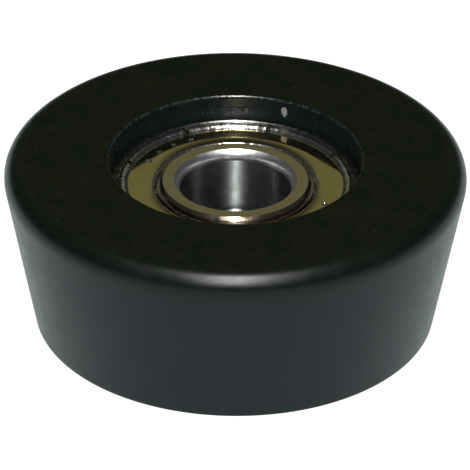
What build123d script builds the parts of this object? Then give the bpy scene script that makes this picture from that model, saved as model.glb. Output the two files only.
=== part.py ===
from build123d import *

import math
import os

# Tapered cam follower: a turned black plastic roller on two half-inch-bore shielded ball bearings.
#
# The bearings are inch-series R8 (1/2 x 1-1/8 x 5/16 in). Both are pressed into the roller from its
# large end, one on top of the other, down to a lip at the small end. A fixed stud goes through both
# inner rings, and the roller turns round it.
#
# Millimetres, +Z up along the bore axis, origin at the centre of the small end's flat face.

# Roller
ROLLER_HEIGHT = 19.9
LARGE_END_RADIUS = 26.57  # where the tread's cone meets the large face, before the edge is rounded
TREAD_TAPER = 10.7  # degrees between the tread and the bore axis
LARGE_EDGE_ROUND = 2.1
SMALL_EDGE_ROUND = 0.3
HOLE_EDGE_BREAK = 0.2
RECESS_DEPTH = 2.8  # from the large face down to the upper bearing
LIP_RADIUS = 13.0  # hole through the lip that carries the lower bearing

# Bearing rings
BORE_RADIUS = 12.7 / 2
SEAT_RADIUS = 28.575 / 2
BEARING_WIDTH = 7.9375
HALF_WIDTH = BEARING_WIDTH / 2
OUTER_RING_CHAMFER = 0.4
OUTER_RING_LAND_RADIUS = 11.7
SHIELD_MOUTH_RADIUS = 13.41  # step in the outer ring that the shield is snapped into
MOUTH_CHAMFER = 0.15
SNAP_GROOVE_DEPTH = 0.15
INNER_RING_LAND_RADIUS = 8.85
INNER_FACE_RADII = (6.95, 8.25)  # the flat face of the inner ring
INNER_RING_CHAMFER = 0.75  # depth of the slope from the face out to the land
BORE_MOUTH_CURVE = 1.5  # radius of the lead-in that curves from the face into the bore

# Balls and races
BALL_COUNT = 10
BALL_RADIUS = 3.96875 / 2
PITCH_RADIUS = (BORE_RADIUS + SEAT_RADIUS) / 2
RACE_CLEARANCE = 0.04
RACE_CURVE = 1.038 * BALL_RADIUS  # radius of the groove's section, a little more than the ball's
BALL_STEP = 360 / BALL_COUNT

# Riveted ribbon cage
CAGE_SHEET = 0.3
CAGE_RADII = (9.4, 11.24)
POCKET_CLEARANCE = 0.08
RIVET_RADIUS = 0.35
RIVET_HOLE_RADIUS = 0.37
RIVET_HEAD_RADIUS = 0.62
RIVET_HEAD_HEIGHT = 0.22
RIVET_HEAD_ROUND = 0.13

# Shield, with every drop measured from the bearing's side face
SHIELD_SHEET = 0.25
SHIELD_FLAT_DROP = 0.45
SHIELD_INNER_RADIUS = 9.15
SHIELD_LIP_LENGTH = 0.42  # how far the inner edge is turned in, from the flat
SHIELD_LIP_ROUND = 0.4
BEAD_RADIUS = 12.8  # from the axis to the middle of the rolled rim
BEAD_CURVE = 0.66
BEAD_DROP = 0.68
NOTCH_COUNT = 8
NOTCH_WIDTH = 0.6
NOTCH_FIRST_ANGLE = 27.5

# Worked out from the sizes above
LIP_HEIGHT = ROLLER_HEIGHT - RECESS_DEPTH - 2 * BEARING_WIDTH
BEARINGS = {
    "lower": LIP_HEIGHT + HALF_WIDTH,
    "upper": LIP_HEIGHT + BEARING_WIDTH + HALF_WIDTH,
}
SHIELD_TOP = HALF_WIDTH - SHIELD_FLAT_DROP
SHIELD_UNDERSIDE = SHIELD_TOP - SHIELD_SHEET
BEAD_HEIGHT = HALF_WIDTH - BEAD_DROP


def section_plane(height, side=1):
    """A half-section to revolve round Z: X is the radius, and Y is up, or down when side is -1."""
    return Plane(origin=(0, 0, height), x_dir=(1, 0, 0), z_dir=(0, -side, 0))


def bearing_plane(height, side=1):
    """A bearing's middle plane, facing up, or down when side is -1."""
    return Plane(origin=(0, 0, height), x_dir=(1, 0, 0), z_dir=(0, 0, side))


def race_arc(curve_centre, facing, land_radius):
    """Three points on half a ball groove's section, from its bottom to its edge on the land.

    facing is 1 when the groove's bottom is outside its curve's centre, and -1 when it is inside.
    """
    edge_angle = math.acos((land_radius - curve_centre) * facing / RACE_CURVE)
    return [
        (curve_centre + facing * RACE_CURVE * math.cos(angle), RACE_CURVE * math.sin(angle))
        for angle in (0, edge_angle / 2, edge_angle)
    ]


def finish(piece, name):
    piece.part.label = name
    export_step(piece.part, f"parts/{name}.step")


def make_roller_body():
    small_end_radius = LARGE_END_RADIUS - ROLLER_HEIGHT * math.tan(math.radians(TREAD_TAPER))
    with BuildPart() as roller_body:
        with BuildSketch(section_plane(0)) as section:
            with BuildLine():
                Polyline(
                    (LIP_RADIUS, 0),
                    (small_end_radius, 0),
                    (LARGE_END_RADIUS, ROLLER_HEIGHT),
                    (SEAT_RADIUS, ROLLER_HEIGHT),
                    (SEAT_RADIUS, LIP_HEIGHT),
                    (LIP_RADIUS, LIP_HEIGHT),
                    close=True,
                )
            make_face()
            small_end = section.vertices().group_by(Axis.Y)[0].sort_by(Axis.X)
            large_end = section.vertices().group_by(Axis.Y)[-1].sort_by(Axis.X)
            fillet(large_end[-1], LARGE_EDGE_ROUND)
            fillet(small_end[-1], SMALL_EDGE_ROUND)
            chamfer([small_end[0], large_end[0]], HOLE_EDGE_BREAK)
        revolve(axis=Axis.Z)
    finish(roller_body, "roller_body")


def make_outer_ring(place, middle):
    curve_centre = PITCH_RADIUS + BALL_RADIUS + RACE_CLEARANCE - RACE_CURVE
    groove_radius = SHIELD_MOUTH_RADIUS + SNAP_GROOVE_DEPTH
    bottom, half_way, edge = race_arc(curve_centre, 1, OUTER_RING_LAND_RADIUS)
    with BuildPart() as outer_ring:
        with BuildSketch(section_plane(middle)) as section:
            with BuildLine():
                ThreePointArc(bottom, half_way, edge)
                Polyline(
                    edge,
                    (OUTER_RING_LAND_RADIUS, SHIELD_UNDERSIDE),
                    (groove_radius, SHIELD_UNDERSIDE),
                    (groove_radius, BEAD_HEIGHT + SNAP_GROOVE_DEPTH),
                    (SHIELD_MOUTH_RADIUS, BEAD_HEIGHT + 2 * SNAP_GROOVE_DEPTH),
                    (SHIELD_MOUTH_RADIUS, HALF_WIDTH - MOUTH_CHAMFER),
                    (SHIELD_MOUTH_RADIUS + MOUTH_CHAMFER, HALF_WIDTH),
                    (SEAT_RADIUS, HALF_WIDTH),
                    (SEAT_RADIUS, 0),
                )
                mirror(about=Plane.XZ)
            make_face()
            chamfer(section.vertices().sort_by(Axis.X)[-2:], OUTER_RING_CHAMFER)
        revolve(axis=Axis.Z)
    finish(outer_ring, f"{place}_outer_ring")


def make_inner_ring(place, middle):
    curve_centre = PITCH_RADIUS - BALL_RADIUS - RACE_CLEARANCE + RACE_CURVE
    bottom, half_way, edge = race_arc(curve_centre, -1, INNER_RING_LAND_RADIUS)
    face_inner, face_outer = INNER_FACE_RADII
    mouth_depth = math.sqrt(
        BORE_MOUTH_CURVE**2 - (BORE_MOUTH_CURVE - face_inner + BORE_RADIUS) ** 2
    )
    bore_edge = HALF_WIDTH - mouth_depth
    with BuildPart() as inner_ring:
        with BuildSketch(section_plane(middle)):
            with BuildLine():
                ThreePointArc(bottom, half_way, edge)
                Polyline(
                    edge,
                    (INNER_RING_LAND_RADIUS, HALF_WIDTH - INNER_RING_CHAMFER),
                    (face_outer, HALF_WIDTH),
                    (face_inner, HALF_WIDTH),
                )
                Line((BORE_RADIUS, 0), (BORE_RADIUS, bore_edge))
                TangentArc((BORE_RADIUS, bore_edge), (face_inner, HALF_WIDTH), tangent=(0, 1))
                mirror(about=Plane.XZ)
            make_face()
        revolve(axis=Axis.Z)
    finish(inner_ring, f"{place}_inner_ring")


def make_shield(place, middle, side, name):
    """A pressed sheet washer: inner edge turned in, outer edge rolled over into a notched bead."""
    flat_width = BEAD_RADIUS - BEAD_CURVE + SHIELD_SHEET / 2 - SHIELD_INNER_RADIUS
    with BuildPart() as shield:
        with BuildSketch(section_plane(middle, side)) as section:
            with Locations((BEAD_RADIUS, BEAD_HEIGHT)):
                Circle(BEAD_CURVE)
                Circle(BEAD_CURVE - SHIELD_SHEET, mode=Mode.SUBTRACT)
            with Locations((BEAD_RADIUS, SHIELD_UNDERSIDE)):
                Rectangle(
                    2 * BEAD_CURVE,
                    2 * BEAD_CURVE,
                    align=(Align.CENTER, Align.MIN),
                    mode=Mode.INTERSECT,
                )
            with Locations((SHIELD_INNER_RADIUS, SHIELD_UNDERSIDE)):
                Rectangle(flat_width, SHIELD_SHEET, align=Align.MIN)
            with Locations((SHIELD_INNER_RADIUS, SHIELD_TOP)):
                Rectangle(SHIELD_SHEET, SHIELD_LIP_LENGTH, align=(Align.MIN, Align.MAX))
            lip = section.vertices().sort_by(Axis.X)[:5].sort_by(Axis.Y)
            fillet(lip[-1], SHIELD_LIP_ROUND)
        revolve(axis=Axis.Z)
        with BuildSketch(bearing_plane(middle, side).offset(SHIELD_UNDERSIDE)):
            with PolarLocations(BEAD_RADIUS, NOTCH_COUNT, start_angle=NOTCH_FIRST_ANGLE):
                Rectangle(2 * BEAD_CURVE + SHIELD_SHEET, NOTCH_WIDTH)
        extrude(amount=HALF_WIDTH, mode=Mode.SUBTRACT)
    finish(shield, f"{place}_{name}")


def make_cage_half(place, middle, side, name):
    """A pressed ribbon with a round pocket over each ball and a drilled flat between each two."""
    ribbon_inner, ribbon_outer = CAGE_RADII
    pocket_radius = BALL_RADIUS + POCKET_CLEARANCE
    shell_radius = pocket_radius + CAGE_SHEET
    split_plane = bearing_plane(middle, side)
    with BuildPart(split_plane) as cage_half:
        with PolarLocations(PITCH_RADIUS, BALL_COUNT):
            Sphere(shell_radius)
        with BuildSketch(split_plane):
            Circle(ribbon_outer)
            Circle(ribbon_inner, mode=Mode.SUBTRACT)
        extrude(amount=2 * shell_radius, mode=Mode.INTERSECT)
        with BuildSketch(split_plane):
            Circle(ribbon_outer)
            Circle(ribbon_inner, mode=Mode.SUBTRACT)
        extrude(amount=CAGE_SHEET)
        with PolarLocations(PITCH_RADIUS, BALL_COUNT):
            Sphere(pocket_radius, mode=Mode.SUBTRACT)
        with PolarLocations(PITCH_RADIUS, BALL_COUNT, start_angle=BALL_STEP / 2):
            Cylinder(RIVET_HOLE_RADIUS, 4 * CAGE_SHEET, mode=Mode.SUBTRACT)
    finish(cage_half, f"{place}_{name}")


def make_cage_rivets(place, middle):
    with BuildPart(bearing_plane(middle)) as cage_rivets:
        with PolarLocations(PITCH_RADIUS, BALL_COUNT, start_angle=BALL_STEP / 2):
            Cylinder(RIVET_RADIUS, 2 * CAGE_SHEET)
            for side in (1, -1):
                with Locations((0, 0, side * (CAGE_SHEET + RIVET_HEAD_HEIGHT / 2))):
                    Cylinder(RIVET_HEAD_RADIUS, RIVET_HEAD_HEIGHT)
        rims = cage_rivets.edges().filter_by(GeomType.CIRCLE).group_by(Axis.Z)
        fillet(rims[0] + rims[-1], RIVET_HEAD_ROUND)
    finish(cage_rivets, f"{place}_cage_rivets")


def make_balls(place, middle):
    for index in range(BALL_COUNT):
        with BuildPart(bearing_plane(middle)) as ball:
            with PolarLocations(PITCH_RADIUS, 1, start_angle=BALL_STEP * index):
                Sphere(BALL_RADIUS)
        finish(ball, f"{place}_ball_{index + 1:02d}")


def make_bearing(place, middle):
    make_outer_ring(place, middle)
    make_inner_ring(place, middle)
    make_shield(place, middle, 1, "shield_top")
    make_shield(place, middle, -1, "shield_bottom")
    make_cage_half(place, middle, 1, "cage_top_half")
    make_cage_half(place, middle, -1, "cage_bottom_half")
    make_cage_rivets(place, middle)
    make_balls(place, middle)


os.makedirs("parts", exist_ok=True)
make_roller_body()
for bearing_place, bearing_middle in BEARINGS.items():
    make_bearing(bearing_place, bearing_middle)
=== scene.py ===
import math

import bmesh
import bpy
from mathutils import Matrix, Vector


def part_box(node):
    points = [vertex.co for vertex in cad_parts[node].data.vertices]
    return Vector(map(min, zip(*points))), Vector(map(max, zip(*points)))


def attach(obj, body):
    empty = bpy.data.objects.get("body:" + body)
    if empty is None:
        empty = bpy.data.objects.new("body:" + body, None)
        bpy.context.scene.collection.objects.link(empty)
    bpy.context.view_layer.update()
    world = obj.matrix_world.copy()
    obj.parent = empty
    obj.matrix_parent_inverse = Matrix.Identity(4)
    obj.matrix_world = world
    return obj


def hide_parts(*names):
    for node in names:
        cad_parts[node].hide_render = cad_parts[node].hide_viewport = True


# A tapered black cam follower roller on two shielded ball bearings, large end up.
# Everything is in metres in the CAD frame: Z is the bore axis and the small end stands on the floor.

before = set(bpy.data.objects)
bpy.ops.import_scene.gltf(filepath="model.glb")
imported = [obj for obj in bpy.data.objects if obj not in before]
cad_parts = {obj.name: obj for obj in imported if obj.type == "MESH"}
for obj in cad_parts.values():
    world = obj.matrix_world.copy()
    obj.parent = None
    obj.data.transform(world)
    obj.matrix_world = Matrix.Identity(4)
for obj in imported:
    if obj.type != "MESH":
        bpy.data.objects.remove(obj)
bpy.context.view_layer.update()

MM = 0.001
PLACES = ("upper", "lower")
BALLS_PER_BEARING = 10


def box_top(node):
    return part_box(node)[1].z


def box_foot(node):
    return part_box(node)[0].z


def box_radius(node):
    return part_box(node)[1].x


# Sizes that part.py also holds. The rest comes from the frame's boxes.
ROLLER_TOP = box_top("roller_body")
TREAD_TAPER = math.radians(10.7)
LARGE_EDGE_ROUND = 2.1 * MM
SMALL_EDGE_ROUND = 0.3 * MM
LIP_RADIUS = 13.0 * MM
OUTER_RING_LAND = 11.7 * MM
OUTER_RING_CORNER = 0.4 * MM
SHIELD_MOUTH = 13.41 * MM
SNAP_GROOVE = 0.15 * MM
INNER_RING_LAND = 8.85 * MM
INNER_FACE = (6.95 * MM, 8.25 * MM)
INNER_RING_CHAMFER = 0.75 * MM
BORE_RADIUS = 6.35 * MM
BORE_MOUTH_CURVE = 1.5 * MM
GROOVE_CURVE = 2.06 * MM
RACE_CLEARANCE = 0.04 * MM
SHIELD_INNER_RADIUS = 9.15 * MM
SHIELD_SHEET = 0.25 * MM
SHIELD_FLAT_DROP = 0.45 * MM
SHIELD_LIP_LENGTH = 0.42 * MM
BEAD_RADIUS = 12.8 * MM
BEAD_CURVE = 0.66 * MM
BEAD_DROP = 0.68 * MM
NOTCH_COUNT = 8
NOTCH_WIDTH = 0.6 * MM
NOTCH_FIRST_ANGLE = 27.5

# Edges that are plainer in part.py, or differ from it by a few hundredths of a millimetre.
RIM_ROUND = 0.26 * MM  # the recess's and the lip's edges
MOUTH_CHAMFER = 0.13 * MM
MOUTH_EDGE_ROUND = 0.04 * MM
LAND_EDGE_ROUND = 0.06 * MM
SLOPE_FOOT_ROUND = 0.08 * MM
SLOPE_BREAK = (0.45, 0.4)  # how far out and down the inner ring's slope bends, in chamfer depths
SLOPE_BREAK_ROUND = 0.3 * MM
FACE_EDGE_ROUND = 0.06 * MM
FACE_INNER_BREAK = 0.04 * MM
SHIELD_LIP_ROUND = 0.38 * MM

# How the shield's pressing differs from a plain turned shape
NOTCH_RAMP = 0.05 * MM
NOTCH_FLOOR = 0.1  # share of the bead's height left in a notch
DISH_RADIUS = 10.9 * MM  # the flat bends down a little inside this
DISH_CURVE = 6.4 * MM
PUNCH_ANGLES = (118, 130, 142, 154, 312, 324, 336)
PUNCH_RING = 11.0 * MM
PUNCH_RADIUS = 0.3 * MM
PUNCH_DEPTH = 0.08 * MM
PUNCH_COLUMNS = 8  # each side of a mark's middle
CLOSEST_COLUMNS = 1e-4  # radians
FLAT_OVERLAP = 0.02 * MM  # how far the flat's steel runs on to the bead
LONGEST_SHIELD_STEP = 0.11 * MM


# ---------------------------------------------------------------- lathe work

SMOOTH_ANGLE = math.radians(28)
ON_END = 0.01 * MM  # how near the roller's ends counts as on them
ON_BORE = 0.005 * MM  # how near the bore counts as on it
TREAD_FROM = 18 * MM  # any radius between the seat's wall and the tread
TURN_STEPS = 360  # columns of faces round the axis
ARC_STEP = math.radians(9)  # turn of one straight piece of a rounded corner


def arc(centre, radius, start, end):
    """Points on an arc from angle start to angle end, in degrees."""
    steps = max(2, round(math.radians(abs(end - start)) / ARC_STEP))
    angles = [math.radians(start + (end - start) * step / steps) for step in range(steps + 1)]
    return [
        (centre[0] + radius * math.cos(angle), centre[1] + radius * math.sin(angle))
        for angle in angles
    ]


def rounded(corners):
    """A closed outline from (radius, height, rounding) corners, each rounding an arc."""
    points = []
    for index, (radius, height, rounding) in enumerate(corners):
        here = Vector((radius, height))
        if rounding == 0:
            points.append((radius, height))
            continue
        to_before = (Vector(corners[index - 1][:2]) - here).normalized()
        to_after = (Vector(corners[(index + 1) % len(corners)][:2]) - here).normalized()
        half_corner = to_before.angle(to_after) / 2
        reach = rounding / math.tan(half_corner)
        centre = here + (to_before + to_after).normalized() * rounding / math.sin(half_corner)
        start = here + to_before * reach - centre
        end = here + to_after * reach - centre
        first = math.atan2(start.y, start.x)
        turn = math.remainder(math.atan2(end.y, end.x) - first, math.tau)
        points += arc(centre, rounding, math.degrees(first), math.degrees(first + turn))
    return points


def subdivided(outline, longest):
    """The same outline with no straight piece over the given length."""
    points = []
    for here, after in zip(outline, outline[1:] + outline[:1]):
        pieces = max(1, math.ceil(math.dist(here, after) / longest))
        for step in range(pieces):
            share = step / pieces
            points.append(tuple(a + (b - a) * share for a, b in zip(here, after)))
    return points


def even_turn():
    return [math.tau * step / TURN_STEPS for step in range(TURN_STEPS)]


def lathe(name, outline, materials, base=0.0, side=1, angles=None, shape=None, finish_of=None):
    """Revolves a closed (radius, height) outline round Z, with its heights above or below base.

    shape moves a point: it takes (radius, height, angle) and returns (radius, height).
    finish_of picks the material's number from a face's (radius, height, angle) at its middle.
    """
    mesh = bmesh.new()
    columns = []
    angles = angles or even_turn()
    for angle in angles:
        points = [shape(r, h, angle) for r, h in outline] if shape else outline
        columns.append([
            mesh.verts.new((r * math.cos(angle), r * math.sin(angle), base + side * h))
            for r, h in points
        ])
    ends = angles[1:] + [angles[0] + math.tau]
    for column, following, angle, end in zip(columns, columns[1:] + columns[:1], angles, ends):
        for row, here in enumerate(outline):
            after = (row + 1) % len(outline)
            face = mesh.faces.new((column[row], column[after], following[after], following[row]))
            face.smooth = True
            if finish_of:
                middle = [(a + b) / 2 for a, b in zip(here, outline[after])]
                face.material_index = finish_of(*middle, (angle + end) / 2)
    bmesh.ops.recalc_face_normals(mesh, faces=mesh.faces)
    data = bpy.data.meshes.new(name)
    mesh.to_mesh(data)
    mesh.free()
    data.set_sharp_from_angle(angle=SMOOTH_ANGLE)
    for material in materials:
        data.materials.append(material)
    piece = bpy.data.objects.new(name, data)
    bpy.context.scene.collection.objects.link(piece)
    return piece


def stand_in(piece, node, body):
    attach(piece, body)
    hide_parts(node)


# ---------------------------------------------------------------- material nodes

def new_material(name, **inputs):
    material = bpy.data.materials.new(name)
    material.use_nodes = True
    tree = material.node_tree
    shader = tree.nodes["Principled BSDF"]
    for socket, value in inputs.items():
        shader.inputs[socket.replace("_", " ")].default_value = value
    return material, tree, shader


def node(tree, kind, inputs=None, **settings):
    made = tree.nodes.new("ShaderNode" + kind)
    for name, value in settings.items():
        setattr(made, name, value)
    for name, value in (inputs or {}).items():
        if isinstance(value, bpy.types.NodeSocket):
            tree.links.new(value, made.inputs[name])
        else:
            made.inputs[name].default_value = value
    return made


def place_in(tree):
    return node(tree, "TexCoord").outputs["Object"]


def noise(tree, scale, detail=2.0, roughness=0.5, vector=None):
    made = node(tree, "TexNoise", {
        "Vector": vector or place_in(tree),
        "Scale": scale,
        "Detail": detail,
        "Roughness": roughness,
    })
    return made.outputs["Fac"]


def ring_noise(tree, per_metre, detail=3.0):
    """Noise that changes only with the distance from the bore axis, as a facing cut leaves."""
    flat = node(tree, "VectorMath", {0: place_in(tree), 1: (1, 1, 0)}, operation="MULTIPLY")
    radius = node(tree, "VectorMath", {0: flat.outputs["Vector"]}, operation="LENGTH")
    made = node(
        tree,
        "TexNoise",
        {"W": radius.outputs["Value"], "Scale": per_metre, "Detail": detail},
        noise_dimensions="1D",
    )
    return made.outputs["Fac"]


def height_noise(tree, per_metre, detail=3.0):
    """Noise that changes only along the bore axis, as turning leaves."""
    split = node(tree, "SeparateXYZ", {"Vector": place_in(tree)})
    made = node(
        tree,
        "TexNoise",
        {"W": split.outputs["Z"], "Scale": per_metre, "Detail": detail},
        noise_dimensions="1D",
    )
    return made.outputs["Fac"]


def span(tree, value, low, high, to_low, to_high):
    """value taken from the range low to high into the range to_low to to_high."""
    made = node(tree, "MapRange", {
        "Value": value,
        "From Min": low,
        "From Max": high,
        "To Min": to_low,
        "To Max": to_high,
    })
    return made.outputs["Result"]


def blend_colour(tree, share, first, second):
    made = node(tree, "Mix", {"Factor": share}, data_type="RGBA")
    for socket, value in ((made.inputs[6], first), (made.inputs[7], second)):
        if isinstance(value, bpy.types.NodeSocket):
            tree.links.new(value, socket)
        else:
            socket.default_value = (*value, 1)
    return made.outputs[2]


def bump(tree, height, distance, strength=1.0, under=None):
    inputs = {"Height": height, "Distance": distance, "Strength": strength}
    if under:
        inputs["Normal"] = under
    return node(tree, "Bump", inputs).outputs["Normal"]


def feed(tree, shader, **sources):
    for socket, source in sources.items():
        tree.links.new(source, shader.inputs[socket.replace("_", " ")])


# ---------------------------------------------------------------- materials

def faced_plastic():
    """The flat ends: dull from facing, with faint brown and green mottling and light dust."""
    material, tree, shader = new_material("faced_plastic", IOR=1.26)
    mottling = span(tree, noise(tree, 420, 5, 0.65), 0.35, 0.68, 0, 1)
    colour = blend_colour(tree, mottling, (0.0006, 0.002, 0.0005), (0.003, 0.0036, 0.0013))
    dust = span(tree, noise(tree, 3300, 1.5, 0.6), 0.71, 0.78, 0, 1)
    colour = blend_colour(tree, dust, colour, (0.022, 0.024, 0.016))
    turned = bump(tree, ring_noise(tree, 5200), 0.00002, 0.5)
    grain = bump(tree, noise(tree, 2600, 3), 0.00002, 0.6, turned)
    feed(
        tree,
        shader,
        Base_Color=colour,
        Roughness=span(tree, noise(tree, 900, 4), 0.3, 0.7, 0.34, 0.46),
        Normal=grain,
    )
    return material


def tread_plastic():
    """The rolling surface and its rounded edges: smooth and satin, with painted shade darkening them
    towards the large end.
    """
    material, tree, shader = new_material("tread_plastic", IOR=1.33)
    cloud = span(tree, noise(tree, 160, 4), 0.3, 0.7, 0, 1)
    colour = blend_colour(tree, cloud, (0.0028, 0.007, 0.0078), (0.004, 0.0088, 0.0096))
    height = node(tree, "SeparateXYZ", {"Vector": place_in(tree)}).outputs["Z"]
    # Painted shade: towards the large end the tread turns darker and olive.
    painted_shade_near_end = span(tree, height, ROLLER_TOP - 2 * LARGE_EDGE_ROUND, ROLLER_TOP, 0, 1)
    colour = blend_colour(tree, painted_shade_near_end, colour, (0.0018, 0.003, 0.0012))
    turned = bump(tree, height_noise(tree, 18000), 0.00002, 0.5)
    grain = bump(tree, noise(tree, 1900, 3), 0.000008, 0.5, turned)
    feed(
        tree,
        shader,
        Base_Color=colour,
        Roughness=span(tree, noise(tree, 600, 4), 0.3, 0.7, 0.28, 0.35),
        Normal=grain,
    )
    return material


NICK_ANGLE = math.radians(67)
NICK_DROP = 1.45 * MM  # below the large face
NICK_WIDTH = 0.42 * MM
NICK_HEIGHT = 0.7 * MM


def nick(tree):
    """1 inside the one pale nick on the seat's wall, which has a ragged edge, and 0 outside it."""
    seat = box_radius("upper_outer_ring")
    middle = (seat * math.cos(NICK_ANGLE), seat * math.sin(NICK_ANGLE), ROLLER_TOP - NICK_DROP)
    stretch = (1 / NICK_WIDTH, 1 / NICK_WIDTH, 1 / NICK_HEIGHT)
    reach = node(tree, "VectorMath", {0: place_in(tree), 1: middle}, operation="SUBTRACT")
    shape = node(tree, "VectorMath", {0: reach.outputs["Vector"], 1: stretch}, operation="MULTIPLY")
    away = node(tree, "VectorMath", {0: shape.outputs["Vector"]}, operation="LENGTH")
    ragged = node(tree, "Math", {0: away.outputs["Value"], 1: noise(tree, 3500, 2)}, operation="ADD")
    return span(tree, ragged.outputs["Value"], 1.2, 1.5, 1, 0)


def bored_plastic():
    """The bearing seat's wall: turned, glossier, and teal-black in the light."""
    material, tree, shader = new_material("bored_plastic", IOR=1.24)
    cloud = span(tree, noise(tree, 700, 3), 0.3, 0.7, 0, 1)
    colour = blend_colour(tree, cloud, (0.002, 0.0045, 0.005), (0.004, 0.0075, 0.008))
    colour = blend_colour(tree, nick(tree), colour, (0.16, 0.17, 0.17))
    feed(
        tree,
        shader,
        Base_Color=colour,
        Roughness=span(tree, noise(tree, 1300, 3), 0.3, 0.7, 0.22, 0.36),
        Normal=bump(tree, height_noise(tree, 9000), 0.00002, 0.6),
    )
    return material


def rim_plastic():
    """The broken edge of the recess: glossier, and nicked by handling, with pale spots that are painted
    glints.
    """
    material, tree, shader = new_material("rim_plastic", IOR=1.6)
    nicks_and_painted_glints = span(tree, noise(tree, 2400, 3), 0.42, 0.62, 0, 1)
    feed(
        tree,
        shader,
        # The pale spots are painted glints along the edge; the bump and roughness are the nicks.
        Base_Color=blend_colour(tree, nicks_and_painted_glints, (0.002, 0.004, 0.004), (0.012, 0.016, 0.016)),
        Roughness=span(tree, nicks_and_painted_glints, 0, 1, 0.22, 0.3),
        Normal=bump(tree, noise(tree, 1500, 3), 0.00003, 0.8),
    )
    return material


def ground_steel():
    """Ring faces: ground in circles, their warm gold colour a painted reflection of a warm room."""
    material, tree, shader = new_material("ground_steel", Metallic=1.0)
    patchiness = span(tree, noise(tree, 500, 4, 0.6), 0.3, 0.7, 0, 1)
    feed(
        tree,
        shader,
        # Painted reflection: the gold tint stands in for a warm room mirrored in the faces.
        Base_Color=blend_colour(tree, patchiness, (0.74, 0.59, 0.40), (0.84, 0.69, 0.51)),
        Roughness=span(tree, noise(tree, 1500, 3), 0.3, 0.7, 0.1, 0.17),
        Normal=bump(tree, ring_noise(tree, 14000), 0.000004, 0.35),
    )
    return material


def pressed_steel():
    """The outer rings: ground, then rubbed when they were pressed in; their dark colour is painted
    shade, as they lie in shadow down in the seat.
    """
    material, tree, shader = new_material("pressed_steel", Metallic=1.0)
    patchiness = span(tree, noise(tree, 700, 4, 0.6), 0.3, 0.7, 0, 1)
    feed(
        tree,
        shader,
        # Painted shade: the rings' steel is darkened as if in the shadow of the seat.
        Base_Color=blend_colour(tree, patchiness, (0.20, 0.20, 0.185), (0.28, 0.275, 0.25)),
        Roughness=span(tree, noise(tree, 1800, 3), 0.3, 0.7, 0.18, 0.28),
        Normal=bump(tree, noise(tree, 2600, 3), 0.00001, 0.6),
    )
    return material


def honed_steel():
    """The bore: dark with painted shade, with fine circles that draw a highlight out into a line along
    it.
    """
    material, tree, shader = new_material(
        "honed_steel",
        Metallic=1.0,
        Anisotropic=1.0,
        Anisotropic_Rotation=0.25,
    )
    tangent = node(tree, "Tangent", direction_type="RADIAL", axis="Z")
    patchiness = span(tree, noise(tree, 900, 3), 0.3, 0.7, 0, 1)
    feed(
        tree,
        shader,
        # Painted shade: the bore's steel is darkened to stand in for the shade deep inside it.
        Base_Color=blend_colour(tree, patchiness, (0.16, 0.17, 0.16), (0.24, 0.25, 0.24)),
        Roughness=span(tree, noise(tree, 5000, 2), 0.3, 0.7, 0.34, 0.42),
        Tangent=tangent.outputs["Tangent"],
        Normal=bump(tree, noise(tree, 3000, 2), 0.000006, 0.5),
    )
    return material


def mouth_steel():
    """The curved mouth of the bore: tumbled, so a highlight spreads over it."""
    material, tree, shader = new_material("mouth_steel", Metallic=1.0)
    patchiness = span(tree, noise(tree, 800, 3), 0.3, 0.7, 0, 1)
    feed(
        tree,
        shader,
        Base_Color=blend_colour(tree, patchiness, (0.60, 0.60, 0.62), (0.78, 0.78, 0.80)),
        Roughness=span(tree, noise(tree, 1500, 3), 0.3, 0.7, 0.30, 0.36),
        Normal=bump(tree, noise(tree, 2600, 3), 0.000006, 0.4),
    )
    return material


def shield_steel():
    """Bright pressed sheet, smooth, with faint rolling cloudiness; its brassy colour is a painted
    reflection of a warm room.
    """
    material, tree, shader = new_material("shield_steel", Metallic=1.0)
    patchiness = span(tree, noise(tree, 380, 5, 0.6), 0.3, 0.7, 0, 1)
    feed(
        tree,
        shader,
        # Painted reflection: the brassy tint stands in for a warm room mirrored in the sheet.
        Base_Color=blend_colour(tree, patchiness, (0.84, 0.66, 0.33), (0.92, 0.76, 0.43)),
        Roughness=span(tree, noise(tree, 1200, 3), 0.3, 0.7, 0.07, 0.13),
        Normal=bump(tree, noise(tree, 2200, 3), 0.000004, 0.3),
    )
    return material


def bead_steel():
    """The shield's rolled rim, rubbed bright."""
    material, tree, shader = new_material("bead_steel", Metallic=1.0)
    patchiness = span(tree, noise(tree, 800, 4), 0.3, 0.7, 0, 1)
    feed(
        tree,
        shader,
        Base_Color=blend_colour(tree, patchiness, (0.74, 0.73, 0.69), (0.88, 0.87, 0.84)),
        Roughness=span(tree, noise(tree, 2600, 3), 0.3, 0.7, 0.15, 0.21),
        Normal=bump(tree, noise(tree, 1500, 2), 0.00009, 1.0),
    )
    return material


def notch_shade_steel():
    """Unrubbed, and dark with painted shade: the notches in the shield's rim."""
    material, tree, shader = new_material("notch_shade_steel", Metallic=0.6)
    blotches = span(tree, noise(tree, 1600, 3), 0.3, 0.7, 0, 1)
    feed(
        tree,
        shader,
        # Painted shade: the notches are near black, standing in for the shade in the gaps.
        Base_Color=blend_colour(tree, blotches, (0.012, 0.012, 0.010), (0.03, 0.03, 0.026)),
        Roughness=span(tree, noise(tree, 2400, 3), 0.3, 0.7, 0.35, 0.5),
    )
    return material


def cage_steel():
    """Pressed strip: greyer, with tumbling marks."""
    material, tree, shader = new_material("cage_steel", Metallic=1.0)
    patchiness = span(tree, noise(tree, 1500, 5, 0.6), 0.3, 0.7, 0, 1)
    feed(
        tree,
        shader,
        Base_Color=blend_colour(tree, patchiness, (0.42, 0.40, 0.36), (0.60, 0.58, 0.54)),
        Roughness=span(tree, noise(tree, 3000, 3), 0.3, 0.7, 0.3, 0.45),
        Normal=bump(tree, noise(tree, 4000, 3), 0.00001, 0.5),
    )
    return material


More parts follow.
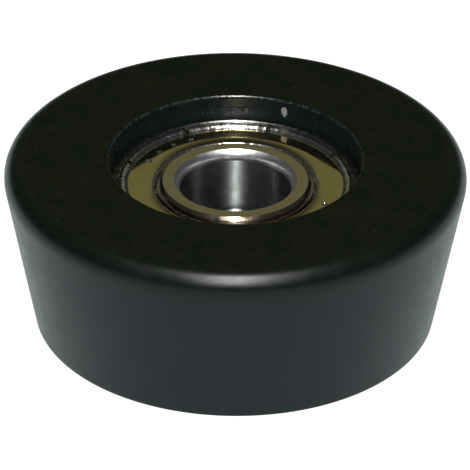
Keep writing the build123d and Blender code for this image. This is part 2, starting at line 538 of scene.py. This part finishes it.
def ball_steel():
    """Lapped balls: mirror bright under a thin film of grease."""
    material, tree, shader = new_material("ball_steel", Metallic=1.0)
    blotches = span(tree, noise(tree, 1100, 4), 0.35, 0.65, 0, 1)
    feed(
        tree,
        shader,
        Base_Color=blend_colour(tree, blotches, (0.80, 0.81, 0.83), (0.66, 0.62, 0.52)),
        Roughness=span(tree, blotches, 0, 1, 0.05, 0.16),
    )
    return material


# ---------------------------------------------------------------- roller

WALL_GROOVE_PITCH = 0.16 * MM
WALL_GROOVE_DEPTH = 0.018 * MM  # of the deepest cut
WALL_GROOVE_SWING = 0.45  # how much shallower than the deepest the mean cut is
WALL_GROOVE_BEAT = 2.4  # radians of the swing from one cut to the next
LONGEST_ROLLER_STEP = 0.6 * MM


def turned_wall(radius, low, high):
    """Corners up a bored wall whose cuts run outward, each a little different, from low to high."""
    count = int((high - low) / WALL_GROOVE_PITCH)
    corners = []
    for cut in range(count):
        foot = low + cut * WALL_GROOVE_PITCH
        swing = WALL_GROOVE_SWING * (1 - math.sin(cut * WALL_GROOVE_BEAT))
        depth = WALL_GROOVE_DEPTH * (1 - swing)
        corners.append((radius, foot, 0))
        corners.append((radius + depth, foot + WALL_GROOVE_PITCH / 2, 0))
    corners.append((radius, low + count * WALL_GROOVE_PITCH, 0))
    return corners


def make_roller():
    seat = box_radius("upper_outer_ring")
    lip_top = box_foot("lower_outer_ring")
    bearing_face = box_top("upper_outer_ring")
    corner_angle = math.pi / 2 - TREAD_TAPER
    # The rounded edge's widest point is known from the frame, and the sharp corner lies outside it.
    cut_back = LARGE_EDGE_ROUND / math.tan(corner_angle / 2)
    sharp_radius = box_radius("roller_body") + cut_back - LARGE_EDGE_ROUND
    small_radius = sharp_radius - ROLLER_TOP * math.tan(TREAD_TAPER)
    wall = turned_wall(seat, bearing_face, ROLLER_TOP - 2 * RIM_ROUND)
    outline = subdivided(rounded([
        (LIP_RADIUS, 0, RIM_ROUND),
        (small_radius, 0, SMALL_EDGE_ROUND),
        (sharp_radius, ROLLER_TOP, LARGE_EDGE_ROUND),
        (seat, ROLLER_TOP, RIM_ROUND),
        *reversed(wall),
        (seat, lip_top, 0),
        (LIP_RADIUS, lip_top, 0),
    ]), LONGEST_ROLLER_STEP)
    flat_edge = sharp_radius - cut_back

    def finish_of(radius, height, angle):
        on_end = height < ON_END or height > ROLLER_TOP - ON_END
        if on_end and radius < flat_edge:
            return 0
        if radius > TREAD_FROM:
            return 1
        return 3 if height > ROLLER_TOP - RIM_ROUND else 2

    materials = [faced_plastic(), tread_plastic(), bored_plastic(), rim_plastic()]
    roller = lathe("roller", outline, materials, finish_of=finish_of)
    stand_in(roller, "roller_body", "roller")


# ---------------------------------------------------------------- bearings

LONGEST_RING_STEP = 0.8 * MM


def make_outer_ring(place, middle, half, material):
    node_name = f"{place}_outer_ring"
    seat = box_radius(node_name)
    shelf = half - SHIELD_FLAT_DROP - SHIELD_SHEET
    groove = half - BEAD_DROP + SNAP_GROOVE
    groove_centre = box_radius(f"{place}_ball_01") + RACE_CLEARANCE - GROOVE_CURVE
    edge_angle = math.degrees(math.acos((OUTER_RING_LAND - groove_centre) / GROOVE_CURVE))
    race = arc((groove_centre, 0), GROOVE_CURVE, -edge_angle, edge_angle)
    upper = [
        (OUTER_RING_LAND, shelf, LAND_EDGE_ROUND),
        (SHIELD_MOUTH + SNAP_GROOVE, shelf, 0),
        (SHIELD_MOUTH + SNAP_GROOVE, groove, 0),
        (SHIELD_MOUTH, groove + SNAP_GROOVE, 0),
        (SHIELD_MOUTH, half - MOUTH_CHAMFER, 0),
        (SHIELD_MOUTH + MOUTH_CHAMFER, half, MOUTH_EDGE_ROUND),
        (seat, half, OUTER_RING_CORNER),
    ]
    lower = [(radius, -height, rounding) for radius, height, rounding in reversed(upper)]
    corners = [(radius, height, 0) for radius, height in race] + upper + lower
    ring = lathe(f"{place}_bearing_outer_ring", rounded(corners), [material], middle)
    stand_in(ring, node_name, "roller")


def make_inner_ring(place, middle, half, materials):
    face_inner, face_outer = INNER_FACE
    groove_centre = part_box(f"{place}_ball_01")[0].x - RACE_CLEARANCE + GROOVE_CURVE
    edge_angle = math.degrees(math.acos((groove_centre - INNER_RING_LAND) / GROOVE_CURVE))
    race = arc((groove_centre, 0), GROOVE_CURVE, 180 + edge_angle, 180 - edge_angle)
    mouth_end = math.degrees(math.acos(1 - (face_inner - BORE_RADIUS) / BORE_MOUTH_CURVE))
    mouth_height = BORE_MOUTH_CURVE * math.sin(math.radians(mouth_end))
    mouth = arc(
        (BORE_RADIUS + BORE_MOUTH_CURVE, half - mouth_height),
        BORE_MOUTH_CURVE,
        180 - mouth_end,
        180,
    )
    break_out, break_down = (share * INNER_RING_CHAMFER for share in SLOPE_BREAK)
    upper = [
        (INNER_RING_LAND, half - INNER_RING_CHAMFER, SLOPE_FOOT_ROUND),
        (face_outer + break_out, half - break_down, SLOPE_BREAK_ROUND),
        (face_outer, half, FACE_EDGE_ROUND),
        (face_inner + FACE_INNER_BREAK, half, 0),
        *[(radius, height, 0) for radius, height in mouth],
    ]
    lower = [(radius, -height, rounding) for radius, height, rounding in reversed(upper)]
    corners = [(radius, height, 0) for radius, height in race] + upper + lower

    def finish_of(radius, height, angle):
        if radius > face_inner:
            return 0
        # The mouths where the two bearings meet are honed as the bore is.
        meeting = (height > 0) == (place == "lower")
        return 1 if meeting or radius < BORE_RADIUS + ON_BORE else 2

    outline = subdivided(rounded(corners), LONGEST_RING_STEP)
    ring = lathe(f"{place}_bearing_inner_ring", outline, materials, middle, finish_of=finish_of)
    stand_in(ring, f"{place}_inner_ring", "inner_rings")


def turn_gap(angle, degrees):
    """The shortest turn between an angle in radians and one in degrees."""
    return abs(math.remainder(angle - math.radians(degrees), math.tau))


def notch_gap(angle):
    """How far round the bead an angle is from the middle of the nearest notch."""
    return min(
        turn_gap(angle, NOTCH_FIRST_ANGLE + 360 / NOTCH_COUNT * number)
        for number in range(NOTCH_COUNT)
    ) * BEAD_RADIUS


def punch_gap(radius, angle):
    """How far a point of the flat is from the middle of the nearest punch mark."""
    return min(
        math.hypot(turn_gap(angle, degrees) * PUNCH_RING, radius - PUNCH_RING)
        for degrees in PUNCH_ANGLES
    )


def shield_angles():
    """Columns for a shield: even ones, and more beside each notch and across each punch mark."""
    angles = set(even_turn())
    for number in range(NOTCH_COUNT):
        centre = math.radians(NOTCH_FIRST_ANGLE + 360 / NOTCH_COUNT * number)
        for ramp_share in (0, 0.5, 1):
            reach = (NOTCH_WIDTH / 2 + ramp_share * NOTCH_RAMP) / BEAD_RADIUS
            angles.update({centre - reach, centre + reach})
    punch_reach = 1.2 * PUNCH_RADIUS / PUNCH_RING
    for degrees in PUNCH_ANGLES:
        for step in range(-PUNCH_COLUMNS, PUNCH_COLUMNS + 1):
            angles.add(math.radians(degrees) + step / PUNCH_COLUMNS * punch_reach)
    kept = []
    for angle in sorted(angle % math.tau for angle in angles):
        if not kept or angle - kept[-1] > CLOSEST_COLUMNS:
            kept.append(angle)
    return kept


def make_shield(place, middle, half, side, name, materials):
    flat = half - SHIELD_FLAT_DROP
    underside = flat - SHIELD_SHEET
    bead = (BEAD_RADIUS, half - BEAD_DROP)
    bead_inner = BEAD_RADIUS - BEAD_CURVE
    hollow = BEAD_CURVE - SHIELD_SHEET
    bead_start = math.degrees(math.asin((flat - bead[1]) / BEAD_CURVE))
    bead_end = math.degrees(math.asin((underside - bead[1]) / BEAD_CURVE))
    hollow_end = math.degrees(math.asin((underside - bead[1]) / hollow))
    crown = arc(bead, BEAD_CURVE, 180 - bead_start, bead_end)
    inside = arc(bead, hollow, hollow_end, 180 - hollow_end)
    outline = subdivided(
        rounded(
            [(SHIELD_INNER_RADIUS, flat, SHIELD_LIP_ROUND)]
            + [(radius, height, 0) for radius, height in crown + inside]
            + [
                (SHIELD_INNER_RADIUS + SHIELD_SHEET, underside, SHIELD_LIP_ROUND - SHIELD_SHEET),
                (SHIELD_INNER_RADIUS + SHIELD_SHEET, flat - SHIELD_LIP_LENGTH, 0),
                (SHIELD_INNER_RADIUS, flat - SHIELD_LIP_LENGTH, 0),
            ]
        ),
        LONGEST_SHIELD_STEP,
    )

    def shape(radius, height, angle):
        if radius > bead_inner:
            share = min(1, max(0, (NOTCH_WIDTH / 2 + NOTCH_RAMP - notch_gap(angle)) / NOTCH_RAMP))
            height -= (height - underside) * (1 - NOTCH_FLOOR) * share
        elif height > underside:
            height -= PUNCH_DEPTH * max(0, 1 - (punch_gap(radius, angle) / PUNCH_RADIUS) ** 4)
        return radius, height - max(0, DISH_RADIUS - radius) ** 2 / (2 * DISH_CURVE)

    def finish_of(radius, height, angle):
        # Notches take the steel darkened with painted shade.
        if radius > bead_inner and notch_gap(angle) < (NOTCH_WIDTH + NOTCH_RAMP) / 2:
            return 2
        if height > underside and punch_gap(radius, angle) < PUNCH_RADIUS:
            return 1
        on_flat = SHIELD_INNER_RADIUS + SHIELD_LIP_ROUND < radius < bead_inner + FLAT_OVERLAP
        return 0 if on_flat else 1

    shield = lathe(
        f"{place}_bearing_{name}",
        outline,
        materials,
        middle,
        side,
        shield_angles(),
        shape,
        finish_of,
    )
    stand_in(shield, f"{place}_{name}", "roller")


def make_bearings():
    outer_steel = pressed_steel()
    inner_steels = [ground_steel(), honed_steel(), mouth_steel()]
    shield_steels = [shield_steel(), bead_steel(), notch_shade_steel()]
    for place in PLACES:
        low, high = box_foot(f"{place}_outer_ring"), box_top(f"{place}_outer_ring")
        middle, half = (low + high) / 2, (high - low) / 2
        make_outer_ring(place, middle, half, outer_steel)
        make_inner_ring(place, middle, half, inner_steels)
        make_shield(place, middle, half, 1, "shield_top", shield_steels)
        make_shield(place, middle, half, -1, "shield_bottom", shield_steels)


def finish_cages_and_balls():
    """These stay as the CAD made them, and get their own steel."""
    strip, lapped = cage_steel(), ball_steel()
    cage_pieces = ("cage_top_half", "cage_bottom_half", "cage_rivets")
    for place in PLACES:
        steel_of = {f"{place}_{name}": strip for name in cage_pieces}
        for number in range(1, BALLS_PER_BEARING + 1):
            steel_of[f"{place}_ball_{number:02d}"] = lapped
        for name, steel in steel_of.items():
            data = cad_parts[name].data
            data.materials.clear()
            data.materials.append(steel)


# ---------------------------------------------------------------- studio

FLOOR_HALF = 3.0
FLOOR_DROP = 0.02 * MM  # keeps the floor clear of the small end
FLOOR_GREY = (0.1, 0.1, 0.1, 1)
FLOOR_GLOW = 1.05
FLOOR_MIRRORED = 0.68  # share of the glow that the part itself sees
FLOOR_COOL = (0.86, 1, 1)  # the glow's colour as the part sees it
# The dark middle of the floor under the roller is a painted shadow.
FLOOR_SHADOW_EDGE = 7 * MM  # over which the glow starts, out from the lower bearing
WHITE = (1, 1, 1)
CAMERA_ELEVATION = math.radians(30.19)
CAMERA_DISTANCE = 531.4 * MM  # from the middle of the large face
AIM_BELOW_TOP = 10.12 * MM
CAMERA_ROLL = math.radians(0.45)
CAMERA_LENS = 360.8
KEY_ELEVATION = math.radians(64.5)
KEY_DISTANCE = 0.7
KEY_WIDTH = 0.055
KEY_LENGTH = 0.7
KEY_GLOW = 94.0  # radiance
ROOM_DIM = (0.018, 0.021, 0.021)
ROOM_WARM = (0.13, 0.14, 0.085)
# Where the warm wall fades in and out, in the Z or Y of the unit vector that points at it
WARM_FOOT = (0.3, 0.46)
WARM_TOP = (0.6, 0.9)
WARM_SIDES = (0.68, 0.8)


def point_at(thing, target, roll=0.0):
    turn = (target - thing.location).to_track_quat("-Z", "Y").to_matrix()
    thing.rotation_euler = (turn @ Matrix.Rotation(roll, 3, "Z")).to_euler()


def in_front(distance, elevation, height):
    """A point on the camera's side of the bore axis, at an elevation from a point on the axis."""
    return Vector((0, -distance * math.cos(elevation), height + distance * math.sin(elevation)))


def make_camera():
    camera = bpy.data.objects.new("camera", bpy.data.cameras.new("camera"))
    camera.data.lens = CAMERA_LENS
    camera.data.clip_start = 0.01
    camera.location = in_front(CAMERA_DISTANCE, CAMERA_ELEVATION, ROLLER_TOP)
    point_at(camera, Vector((0, 0, ROLLER_TOP - AIM_BELOW_TOP)), CAMERA_ROLL)
    bpy.context.scene.collection.objects.link(camera)
    bpy.context.scene.camera = camera


def make_key_light():
    light = bpy.data.lights.new("key", "AREA")
    light.shape = "RECTANGLE"
    light.size = KEY_WIDTH
    light.size_y = KEY_LENGTH
    light.energy = KEY_GLOW * math.pi * KEY_WIDTH * KEY_LENGTH
    key = bpy.data.objects.new("key", light)
    key.location = in_front(KEY_DISTANCE, KEY_ELEVATION, ROLLER_TOP)
    point_at(key, Vector((0, 0, ROLLER_TOP)))
    bpy.context.scene.collection.objects.link(key)


def make_floor():
    """A glowing white table that throws no shadow, with a shadow painted under the roller, and clear
    from below.
    """
    material, tree, shader = new_material("floor", Roughness=0.9)
    shader.inputs["Base Color"].default_value = FLOOR_GREY
    radius = node(tree, "VectorMath", {0: place_in(tree)}, operation="LENGTH").outputs["Value"]
    foot = box_radius("lower_outer_ring")
    # Painted shadow: the glow fades to nothing under the roller.
    glow = span(tree, radius, foot, foot + FLOOR_SHADOW_EDGE, 0.0, FLOOR_GLOW)
    seen = node(tree, "LightPath").outputs["Is Camera Ray"]
    share = span(tree, seen, 0, 1, FLOOR_MIRRORED, 1)
    lit = node(tree, "Math", {0: glow, 1: share}, operation="MULTIPLY")
    feed(
        tree,
        shader,
        Emission_Color=blend_colour(tree, seen, FLOOR_COOL, WHITE),
        Emission_Strength=lit.outputs["Value"],
    )
    below = node(tree, "NewGeometry").outputs["Backfacing"]
    clear = node(tree, "BsdfTransparent").outputs["BSDF"]
    sides = node(tree, "MixShader", {0: below, 1: shader.outputs["BSDF"], 2: clear})
    tree.links.new(sides.outputs["Shader"], tree.nodes["Material Output"].inputs["Surface"])
    data = bpy.data.meshes.new("floor")
    signs = [(-1, -1), (1, -1), (1, 1), (-1, 1)]
    corners = [(x * FLOOR_HALF, y * FLOOR_HALF, 0) for x, y in signs]
    data.from_pydata(corners, [], [(0, 1, 2, 3)])
    data.materials.append(material)
    floor = bpy.data.objects.new("floor", data)
    floor.location.z = -FLOOR_DROP
    bpy.context.scene.collection.objects.link(floor)


def make_room():
    """Dim walls, and a warm one at the back for flat steel to mirror. The camera itself sees white."""
    world = bpy.data.worlds.new("room")
    world.use_nodes = True
    tree = world.node_tree
    way = node(tree, "SeparateXYZ", {"Vector": node(tree, "TexCoord").outputs["Generated"]})
    rise = span(tree, way.outputs["Z"], *WARM_FOOT, 0, 1)
    fall = span(tree, way.outputs["Z"], *WARM_TOP, 1, 0)
    back = span(tree, way.outputs["Y"], *WARM_SIDES, 0, 1)
    level = node(tree, "Math", {0: rise, 1: fall}, operation="MULTIPLY").outputs["Value"]
    warm = node(tree, "Math", {0: level, 1: back}, operation="MULTIPLY").outputs["Value"]
    walls = blend_colour(tree, warm, ROOM_DIM, ROOM_WARM)
    seen = node(tree, "LightPath").outputs["Is Camera Ray"]
    colour = blend_colour(tree, seen, walls, WHITE)
    tree.links.new(colour, tree.nodes["Background"].inputs["Color"])
    bpy.context.scene.world = world


def set_tone():
    view = bpy.context.scene.view_settings
    view.view_transform = "Standard"
    view.look = "None"


make_camera()
make_key_light()
make_floor()
make_room()
set_tone()
make_roller()
make_bearings()
finish_cages_and_balls()
